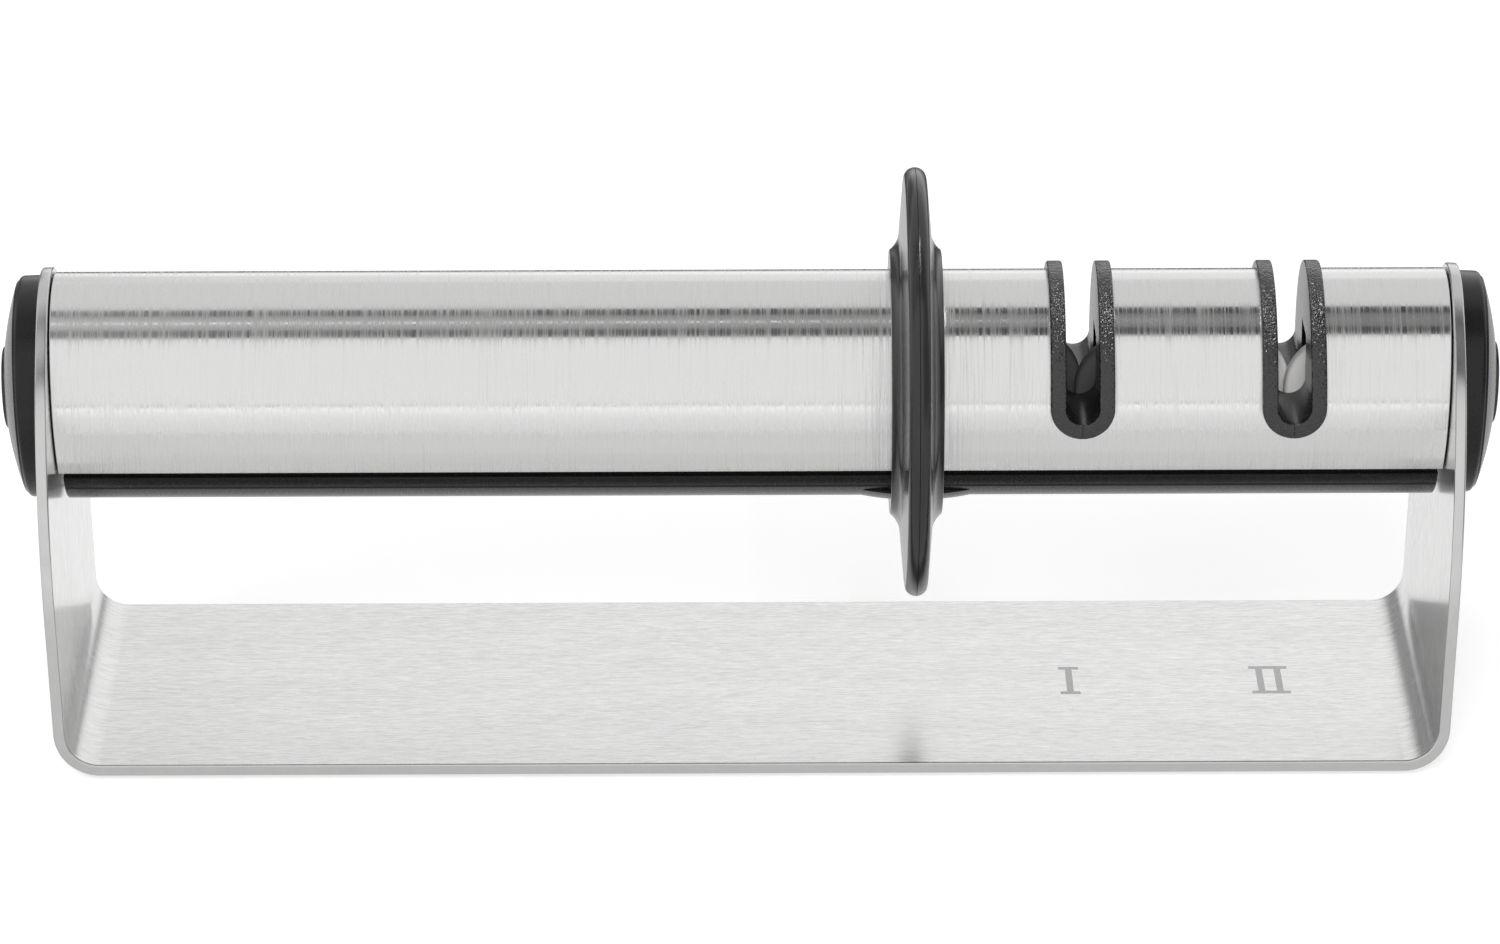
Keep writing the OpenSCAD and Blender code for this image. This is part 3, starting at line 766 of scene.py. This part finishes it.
def about_tube(mesh, x, side):
    """Turns a solid made about Z so that its Z runs along the tube, to one side."""
    mesh.transform(Matrix.Translation((x, 0, axis_z)) @ Matrix.Rotation(side * math.pi / 2, 4, "Y"))
    return mesh


guard_black = moulded("guard_black", (0.012, 0.012, 0.013), 0.2, grain_mm=0.25, depth_mm=0.012, gloss=0.15)
guards = []
for side, label in ((-1, "left"), (1, "right")):
    half = about_tube(turned("guard_half", guard_profile(), guard_steps), guard_x, side)
    guards.append(piece(f"guard_{label}", half, guard_black, "black_plastic", f"collar_{label}_half"))


# Saddle. A low moulded bulge of black plastic under the rail, held between
# the guard's two halves: an arc along the tube, swept part of the way round.

key_len, key_h, key_angle = 19.3 * mm, 0.95 * mm, 38
key_columns, key_rows = 24, 40
key_join = 0.0005 * mm


def saddle_mesh():
    """The bulge, from edge to edge round the tube's underside."""
    inner = tube_r + seat_fit / 2
    big_r = (key_len ** 2 / 4 + key_h ** 2) / (2 * key_h)
    columns = []
    reach = math.sqrt(big_r ** 2 - (big_r - key_h + inner - tube_r) ** 2)
    for i in range(key_columns + 1):
        x = reach * (2 * i / key_columns - 1)
        columns.append((x, tube_r + key_h - big_r + math.sqrt(big_r ** 2 - x ** 2)))
    bm = bmesh.new()
    grid = []
    for k in range(key_rows + 1):
        a = math.radians(-90 - key_angle + 2 * key_angle * k / key_rows)
        outer = [bm.verts.new((guard_x + x, r * math.cos(a), axis_z + r * math.sin(a))) for x, r in columns]
        y, z = inner * math.cos(a), axis_z + inner * math.sin(a)
        inside = [bm.verts.new((guard_x + x, y, z)) for x, r in columns]
        grid.append(outer + inside[::-1])
    for a, b in zip(grid, grid[1:]):
        bridge(bm, a, b)
    bm.faces.new(grid[0])
    bm.faces.new(grid[-1][::-1])
    return closed(bm, "saddle", key_join)


piece("saddle", saddle_mesh(), satin_black, "black_plastic", "collar_key")


# Slot liners. One black moulding in each slot: a U channel across the tube,
# open to the wheels, and a spark-eroded bezel that laps over the cut steel and
# runs over the top to the back, with the mould's joint line below.

slot_r, liner_r, bezel_half = 2.9 * mm, 4.1 * mm, 5.65 * mm
bezel_top = 21.4 * mm
bezel_seat = tube_r + seat_fit / 2
leg_r = tube_r - shell_wall
bezel_edge, mouth_edge = 0.45 * mm, 0.3 * mm
seam_at, seam_turn, seam_d = 270, 1.0, 0.06 * mm
over_steps = 96
chamber_half, chamber_top = 5 * mm, 10 * mm


def bezel_section():
    """Section of the bezel: distance from the slot's middle line, and radius
    about the tube's axis. A leg goes down inside the cut steel."""
    section = [(slot_r, leg_r), (slot_r, bezel_top - mouth_edge)]
    section += arc(slot_r + mouth_edge, bezel_top - mouth_edge, mouth_edge, 180, 90, 5)[1:]
    section += arc(bezel_half - bezel_edge, bezel_top - bezel_edge, bezel_edge, 90, 0, 6)
    section += [(bezel_half, bezel_seat), (liner_r, bezel_seat), (liner_r, leg_r)]
    return section


def bezel_stations():
    """Places along the slot's rim, all the way round: turn about the slot's
    round end, share of the way over the top, and front or back."""
    turns = [180 + 180 * i / slot_steps for i in range(slot_steps + 1)]
    turns = sorted(turns + [seam_at - seam_turn, seam_at + seam_turn])
    stations = [(turn, None, -1) for turn in turns]
    stations += [(0, i / over_steps, 1) for i in range(1, over_steps)]
    stations += [(turn, None, 1) for turn in turns[::-1]]
    stations += [(180, 1 - i / over_steps, -1) for i in range(1, over_steps)]
    return stations


def on_tube(x, out, r, turn, share, face):
    """A bezel point at a distance out from the slot's middle line and a radius r."""
    if share is None:
        a = math.radians(turn)
        z = slot_rise + out * math.sin(a)
        return x + out * math.cos(a), face * math.sqrt(r * r - z * z), axis_z + z
    low = math.asin(slot_rise / r)
    a = low + (math.pi - 2 * low) * share
    side = 1 if turn == 0 else -1
    return x + side * out, -r * math.cos(a), axis_z + r * math.sin(a)


def bezel_mesh(x):
    """The bezel's section, swept along its stations and sunk a little at the seam."""
    section = bezel_section()
    bm = bmesh.new()
    grid = []
    for place in bezel_stations():
        sunk = seam_d if place[0] == seam_at else 0
        ring = [(out, r - sunk if r > tube_r + sunk else r) for out, r in section]
        grid.append([bm.verts.new(on_tube(x, out, r, *place)) for out, r in ring])
    for i in range(len(grid)):
        bridge(bm, grid[i], grid[(i + 1) % len(grid)])
    return closed(bm, "bezel")


def channel_mesh(x):
    """The U channel inside the tube, opened for the wheels."""
    outer = slot_tool(x, liner_r)
    low = axis_z - tube_r
    room = bmesh.new()
    bmesh.ops.create_cube(room, size=1)
    room_size = (4 * liner_r, 2 * chamber_half, tube_r + chamber_top)
    bmesh.ops.scale(room, verts=room.verts, vec=room_size)
    bmesh.ops.translate(room, verts=room.verts, vec=(x, 0, low + (tube_r + chamber_top) / 2))
    bar = about_tube(pin(leg_r, -3 * liner_r, 3 * liner_r, shell_steps), x, 1)
    return carved(carved(outer, [bar], "INTERSECT"), [slot_tool(x, slot_r), closed(room, "room")])


def joined(*meshes):
    """Several closed meshes as one."""
    bm = bmesh.new()
    for mesh in meshes:
        bm.from_mesh(mesh)
    mesh = bpy.data.meshes.new("joined")
    bm.to_mesh(mesh)
    bm.free()
    return mesh


sparked_black = moulded("sparked_black", (0.006, 0.006, 0.0065), 0.13, grain_mm=0.38, depth_mm=0.18,
                        shade=0.3, gloss=0.05, specular=0.75)
glossy_parts = bpy.data.collections.new("glossy_parts")
for x, label in zip(slot_xs, ("coarse", "fine")):
    liner = joined(bezel_mesh(x), channel_mesh(x))
    liner = piece(f"{label}_liner", liner, sparked_black, "grained_plastic", f"slot_liner_{label}")
    glossy_parts.objects.link(liner)
    liner.data.materials.append(satin_black)
    for face in liner.data.polygons:
        if math.hypot(face.center.y, face.center.z - axis_z) < bezel_top - 2 * bezel_edge:
            face.material_index = 1


# Wheels. Two pairs of rings, each 3.6 mm thick on its own pin, so that the
# front and the rear one overlap and form a V in the slot. The coarse pair is
# steel coated with dark diamond grit, the fine pair pale sintered ceramic.

wheel_r = 9.4 * mm
pin_bore_r = 2.05 * mm
wheel_edge = 0.5 * mm
edge_round = 0.12 * mm
wheel_steps = 192


def wheel_mesh(node):
    """A ring with broken edges, in its CAD node's place."""
    low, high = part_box(node)
    middle = (low + high) / 2
    half = (high.y - low.y) / 2
    outline = [(pin_bore_r, -half), (wheel_r - wheel_edge - edge_round, -half),
               (wheel_r - wheel_edge + edge_round / 2, -half + edge_round / 2),
               (wheel_r - edge_round / 2, -half + wheel_edge - edge_round / 2),
               (wheel_r, -half + wheel_edge + edge_round)]
    outline += [(r, -h) for r, h in reversed(outline)]
    mesh = turned("wheel", outline, wheel_steps)
    mesh.transform(Matrix.Translation(middle) @ Matrix.Rotation(math.pi / 2, 4, "X"))
    return mesh


diamond_grit = moulded("diamond_grit", (0.08, 0.08, 0.083), 0.38, grain_mm=0.09, depth_mm=0.012, shade=0.5)
pale_ceramic = moulded("pale_ceramic", (0.87, 0.865, 0.85), 0.35, grain_mm=0.07, depth_mm=0.002,
                       shade=0.06, gloss=0.2)
pairs = (("coarse", diamond_grit, "coarse_abrasive"), ("fine", pale_ceramic, "fine_ceramic"))
for kind, material, slot in pairs:
    for place in ("rear", "front"):
        node = f"{kind}_wheel_{place}"
        piece(f"{node}_ring", wheel_mesh(node), material, slot, node, body=f"{node}_body")


# End caps. A black moulded dome outside each upright, with a straight side,
# a tight rounded edge, and a small disc that hides the screw.

cap_r, cap_side, cap_h, cap_edge = 19.6 * mm, 4.1 * mm, 7.1 * mm, 0.9 * mm
cap_wall, boss_r, fine_edge = 2 * mm, 8 * mm, 0.15 * mm
spigot_reach = 1.1 * mm
recess_r, recess_d = 7.3 * mm, 1.2 * mm
disc_r, disc_t, disc_edge = 7.2 * mm, 1.7 * mm, 0.25 * mm
head_r, head_h, shank_r = 4.3 * mm, 2.4 * mm, 2.5 * mm
cap_steps, disc_steps, dome_steps = 192, 128, 24


def cap_profile():
    """The cap as radius and height over the upright: the screw's bore and
    seat, the disc's recess, the dome, the rounded edge and the hollow inside."""
    fall = cap_h - cap_side
    depth = (cap_r ** 2 + cap_side ** 2 - recess_r ** 2 - cap_h ** 2) / (2 * fall)
    radius = math.hypot(recess_r, cap_h + depth)

    def on_dome(r):
        return r, -depth + math.sqrt(radius ** 2 - r ** 2)

    spigot_hole, head_hole, shank_hole = (r + seat_fit for r in (spigot_r, head_r, shank_r))
    floor_h = cap_h - recess_d
    seat_h = floor_h - head_h - seat_fit
    reach = cap_r - cap_edge
    points = [(boss_r, 0), (spigot_hole, 0), (spigot_hole, spigot_reach), (shank_hole, spigot_reach)]
    points += [(shank_hole, seat_h), (head_hole, seat_h), (head_hole, floor_h), (recess_r, floor_h)]
    points += [(recess_r, cap_h - fine_edge), on_dome(recess_r + fine_edge)]
    points += [on_dome(recess_r + (reach - recess_r) * i / dome_steps) for i in range(1, dome_steps + 1)]
    points += arc(reach, cap_side - cap_edge, cap_edge, 78, 0, 9)
    points += [(cap_r, fine_edge), (cap_r - fine_edge, 0), (cap_r - cap_wall, 0)]
    points += [(cap_r - cap_wall, cap_side - cap_wall), (boss_r, cap_side - cap_wall)]
    return points


def disc_profile():
    """The small disc, with a rounded rim."""
    low, high = cap_h - recess_d, cap_h - recess_d + disc_t
    rim = arc(disc_r - disc_edge, high - disc_edge, disc_edge, 0, 90, 5)
    return [(0, low), (disc_r, low)] + rim + [(0, high)]


outer_face = Matrix.Translation((0, 0, sheet_t))
for side, label in ((-1, "left"), (1, "right")):
    cap = turned("cap", cap_profile(), cap_steps)
    cap.transform(at_end(side) @ outer_face)
    piece(f"{label}_dome", cap, satin_black, "black_plastic", f"{label}_end_cap")
    disc = turned("disc", disc_profile(), disc_steps)
    disc.transform(at_end(side) @ outer_face)
    piece(f"{label}_disc", disc, guard_black, "black_plastic", f"{label}_cap_disc")


# Rail screws. Four countersunk screws with a cross recess, zinc plated, drawn
# up into the underside of the rail.

screw_in = 1 * mm
screw_z = axis_z - tube_r + screw_in
long_share, wide_share = 1.1, 0.22


def screw_tree():
    """A countersunk screw, head down, on each point."""
    sizes = ["Head Radius", "Shank Radius", "Head Height", "Length", "Recess"]
    tree, given, out = tree_with("CountersunkScrew", sizes)
    head_r, shank_r, head_h, length, recess = (given.outputs[label] for label in sizes)
    cone = {"Vertices": screw_sides, "Radius Bottom": head_r, "Radius Top": shank_r, "Depth": head_h}
    head = put(tree, "GeometryNodeMeshCone", cone).outputs["Mesh"]
    rod = {"Vertices": screw_sides, "Radius": shank_r, "Depth": length}
    shank = put(tree, "GeometryNodeMeshCylinder", rod).outputs["Mesh"]
    whole = put(tree, "GeometryNodeMeshBoolean", operation="UNION", solver="EXACT")
    for part in (head, lifted(tree, shank, maths(tree, "MULTIPLY", length, 0.5))):
        tree.links.new(part, whole.inputs["Mesh 2"])
    cut = put(tree, "GeometryNodeMeshBoolean", {"Mesh 1": whole.outputs[0]},
              operation="DIFFERENCE", solver="EXACT")
    size = put(tree, "ShaderNodeCombineXYZ", {
        0: maths(tree, "MULTIPLY", head_r, long_share), 1: maths(tree, "MULTIPLY", head_r, wide_share),
        2: maths(tree, "MULTIPLY", recess, 2.0)}).outputs[0]
    bar = put(tree, "GeometryNodeMeshCube", {"Size": size}).outputs["Mesh"]
    for turn in (0, math.pi / 2):
        turned_bar = put(tree, "GeometryNodeTransform", {"Geometry": bar, "Rotation": (0, 0, turn)})
        tree.links.new(turned_bar.outputs[0], cut.inputs["Mesh 2"])
    on_points(tree, given, out, cut.outputs[0])
    return tree


def plated(name, colour, rough):
    """Ground or plated metal with fine marks."""
    return moulded(name, colour, rough, grain_mm=0.2, depth_mm=0.001, shade=0.15, gloss=0.25, metallic=1.0)


screw_steel = plated("screw_steel", (0.55, 0.55, 0.54), 0.35)
screw_spots = [(x, 0, screw_z) for x in screw_xs]
screws = grown("screws", spots_mesh("screws", screw_spots), screw_tree(), {
    "Head Radius": 2.5 * mm, "Shank Radius": 1.25 * mm, "Head Height": 1.25 * mm,
    "Length": 11 * mm, "Recess": 0.8 * mm,
}, screw_steel)
piece("countersunk_screws", screws, screw_steel, "screw_steel", "rail_screws")


# Inside. The cores that fill the shells, the end plugs, sleeves and washers
# are plain mouldings, the pins and the two end screws are steel. They keep
# their solids and take their finishes here.

inner_black = moulded("inner_black", (0.03, 0.03, 0.032), 0.5, grain_mm=0.3, depth_mm=0.004)
washer_white = moulded("washer_white", (0.75, 0.73, 0.67), 0.45, grain_mm=0.3, depth_mm=0.002, shade=0.08)
pin_steel = plated("pin_steel", (0.62, 0.62, 0.61), 0.22)
finishes = {
    inner_black: ("handle_core", "head_core", "left_end_plug", "right_end_plug", "spacer_sleeves"),
    washer_white: ("thrust_washers",),
    pin_steel: ("coarse_axle_rear", "coarse_axle_front", "fine_axle_rear", "fine_axle_front"),
    screw_steel: ("end_screws",),
}
for material, names in finishes.items():
    for name in names:
        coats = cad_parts[name].data.materials
        coats.clear()
        coats.append(material)


# Floor. Plain white, a little brighter to the camera than the light makes it,
# so that it fades into the white background and keeps a soft shadow.

floor_half = 3.0
floor_glow, floor_in_metal = 0.42, 0.05


def flat_sheet(name, corners):
    """One flat face of the set, which isn't part of the object."""
    mesh = bpy.data.meshes.new(name)
    mesh.from_pydata(corners, [], [(0, 1, 2, 3)])
    sheet = in_scene(name, mesh)
    return sheet


floor = flat_sheet("floor", [(-floor_half, -floor_half, 0), (floor_half, -floor_half, 0),
                             (floor_half, floor_half, 0), (-floor_half, floor_half, 0)])
floor_white, tree, shader = new_material("floor_white")
shader.inputs["Base Color"].default_value = (0.8, 0.8, 0.8, 1)
shader.inputs["Roughness"].default_value = 0.9
shader.inputs["Emission Color"].default_value = (1, 1, 1, 1)
seen = put(tree, "ShaderNodeLightPath").outputs
mirrored = maths(tree, "MAXIMUM", seen["Is Glossy Ray"], seen["Is Transmission Ray"])
glow = maths(tree, "MULTIPLY", seen["Is Camera Ray"], floor_glow)
strength = maths(tree, "MULTIPLY_ADD", mirrored, floor_in_metal, glow)
tree.links.new(strength, shader.inputs["Emission Strength"])
floor.data.materials.append(floor_white)


# Light. An even white room, which metal and camera see at full white, and two
# soft lamps in front. A third, small and overhead, shines only on the guard
# and the liners, whose moulded grain glitters in it.

room_light, room_seen = 0.55, 1.0
room = bpy.data.worlds.new("room")
bpy.context.scene.world = room
room.use_nodes = True
tree = room.node_tree
seen = put(tree, "ShaderNodeLightPath").outputs
shown = maths(tree, "MAXIMUM", seen["Is Camera Ray"], seen["Is Glossy Ray"])
shown = maths(tree, "MAXIMUM", shown, seen["Is Transmission Ray"])
level = put(tree, "ShaderNodeMapRange", {"Value": shown, "To Min": room_light, "To Max": room_seen})
back = tree.nodes["Background"]
back.inputs["Color"].default_value = (1, 1, 1, 1)
tree.links.new(level.outputs[0], back.inputs["Strength"])


def lamp(label, place, size, power, in_metal):
    """A soft lamp that points at the tube."""
    light = bpy.data.lights.new(label, "AREA")
    light.shape = "DISK"
    light.size = size
    light.energy = power
    holder = in_scene(label, light)
    holder.location = place
    aim = Vector((0, 0, axis_z)) - Vector(place)
    holder.rotation_euler = aim.to_track_quat("-Z", "Y").to_euler()
    holder.visible_glossy = in_metal
    return holder


lamp("key", (0.05, -1.1, 0.75), 0.5, 9.0, False)
lamp("fill", (-0.9, -0.6, 1.0), 0.8, 5.0, False)
spark = lamp("spark", (0.08, -0.02, 0.66), 0.25, 0.9, True)
spark.data.shape = "RECTANGLE"
spark.data.size_y = 0.07
for guard in guards:
    glossy_parts.objects.link(guard)
spark.light_linking.receiver_collection = glossy_parts


# Cards. Grey and bright cards round the set, which only gloss sees, as in a
# product studio. Those overhead give the tube its dark and light bands, those
# behind and at the side shade the plate, the folds and the uprights. Those just
# over the floor are painted light and painted shadow: metal sees the floor behind
# evenly lit over the object's own shadow, and the floor in front darker near it.

card_half = 1.5
overhead_z = 0.7
second_bounce = 1.5


def card(label, corners, grey, again=1.0):
    """A card. again is its level where it is mirrored a second time, as the
    plate's image in an upright shows it; left at 1 it is the white room there."""
    sheet = flat_sheet(label, corners)
    sheet.visible_camera = False
    sheet.visible_shadow = False
    sheet.visible_diffuse = False
    paint, tree, shader = new_material(label)
    shader.inputs["Base Color"].default_value = (0, 0, 0, 1)
    shader.inputs["Specular IOR Level"].default_value = 0
    shader.inputs["Emission Color"].default_value = (1, 1, 1, 1)
    bounces = put(tree, "ShaderNodeLightPath").outputs["Glossy Depth"]
    later = maths(tree, "GREATER_THAN", bounces, second_bounce)
    level = maths(tree, "MULTIPLY_ADD", later, again - grey, grey)
    tree.links.new(level, shader.inputs["Emission Strength"])
    sheet.data.materials.append(paint)


def level_card(label, front, back, grey, z=overhead_z, left=-card_half, right=card_half):
    """A card that lies level."""
    card(label, [(left, front, z), (right, front, z), (right, back, z), (left, back, z)], grey)


def upright_card(label, y, low, high, grey, left=-card_half, right=card_half, again=1.0):
    """A card that stands square to the view."""
    card(label, [(left, y, low), (right, y, low), (right, y, high), (left, y, high)], grey, again)


# Overhead, from left to right: where a step starts and ends, the level of its
# dark card, and that of the paler strip a little below it.
bands = ((-card_half, -0.15, 0.32, 0.62), (-0.15, -0.06, 0.17, 0.46),
         (-0.06, 0.06, 0.11, 0.36), (0.06, card_half, 0.08, 0.24))
for i, (left, right, dark, strip) in enumerate(bands):
    level_card(f"ceiling_dark_{i}", -0.275, 0.115, dark, overhead_z, left, right)
    level_card(f"ceiling_strip_{i}", -0.16, 0.02, strip, overhead_z - 0.01, left, right)
level_card("ceiling_tube", -0.077, -0.063, 1.5, overhead_z - 0.02, -card_half, 0.06)
level_card("ceiling_grey", 0.115, 0.98, 0.8)

# Low behind the object, a slope that the folds show: depths and heights of
# its steps, and their levels.
slope = ((0.33, 0.002), (0.41, 0.03), (0.49, 0.06), (0.6, 0.1))
for i, grey in enumerate((0.08, 0.25, 0.5)):
    (y0, z0), (y1, z1) = slope[i:i + 2]
    card(f"back_dark_{i}", [(-card_half, y0, z0), (card_half, y0, z0),
                            (card_half, y1, z1), (-card_half, y1, z1)], grey, 0.2)

# On the far wall, three cards that the plate shows, and a fade round them: left,
# right, bottom, level, and level when mirrored again.
wall_y, wall_top, wall_half = 2.9, 1.8, 2.9
upright_card("back_bright", wall_y, 0.3, 0.76, 1.15, -0.46, 0.13)
upright_card("back_bright_right", wall_y, 0.3, 0.76, 1.15, 0.13, wall_half, 0.4)
upright_card("back_low_right", wall_y, 0.01, 0.3, 1.0, 0.3, wall_half, 0.15)
fade = ((-wall_half, -0.82, 0.01, 0.25, 0.2), (-0.82, -0.68, 0.01, 0.4, 0.2),
        (-0.68, -0.56, 0.01, 0.6, 0.2), (-0.56, -0.46, 0.01, 0.8, 0.2),
        (-0.46, -0.33, 0.76, 0.8, 0.2), (-0.33, -0.13, 0.76, 0.94, 0.2),
        (-0.13, 0.08, 0.76, 0.96, 1.0), (0.13, wall_half, 0.76, 1.0, 0.8))
for i, (left, right, low, grey, again) in enumerate(fade):
    upright_card(f"back_left_{i}", wall_y, low, wall_top, grey, left, right, again)

# In front, at the right, and just over the floor, where the uprights see it.
floor_z = 0.0006
upright_card("front_line", -0.86, 0.001, 0.055, 0.8)
card("right_dark", [(0.7, -1.0, 0.002), (0.7, 0.1, 0.002), (0.7, 0.1, 0.8), (0.7, -1.0, 0.8)], 0.35)
# Painted light: metal sees the floor behind the object evenly lit, at full white on the left and a little
# less on the right, where the object's own shadow falls.
level_card("painted_lit_floor_left", 0.042, 0.33, 1.0, floor_z, -card_half, 0)
level_card("painted_lit_floor_right", 0.042, 0.33, 0.92, floor_z, 0, card_half)
# Painted shadow: metal sees the floor in front darker near the object, and darker still at its foot.
level_card("painted_shadow_near_floor", -0.115, -0.052, 0.8, floor_z)
level_card("painted_shadow_at_foot", -0.052, -0.02, 0.76, floor_z)


# View. The photograph's camera: 1.39 m away, 20 degrees up, a long lens.

photo_px, focal_px, distance, film_w = 1500, 7869, 1.394, 36
up_angle, side_angle, roll = math.radians(19.99), math.radians(-0.247), math.radians(-0.117)
shift_x, shift_y = 0.503, -89.68


def frame_of(look):
    """Right and up in a picture that looks this way."""
    right = look.cross(Vector((0, 0, 1))).normalized()
    return right, right.cross(look)


level_run = math.cos(up_angle)
way_back = Vector((level_run * math.sin(side_angle), -level_run * math.cos(side_angle), math.sin(up_angle)))
tube_centre = Vector((0, 0, axis_z))
eye = tube_centre + distance * way_back
look = (tube_centre - eye).normalized()
right, top = frame_of(look)
look = (look - right * math.tan(shift_x / focal_px) + top * math.tan(shift_y / focal_px)).normalized()
right, top = frame_of(look)
right, top = math.cos(roll) * right + math.sin(roll) * top, math.cos(roll) * top - math.sin(roll) * right
lens = bpy.data.cameras.new("photo_view")
lens.sensor_width = film_w
lens.lens = film_w * focal_px / photo_px
lens.clip_start = 0.01
camera = in_scene("photo_view", lens)
camera.matrix_world = Matrix((right, top, -look)).transposed().to_4x4()
camera.location = eye
bpy.context.scene.camera = camera
bpy.context.scene.view_settings.view_transform = "Standard"
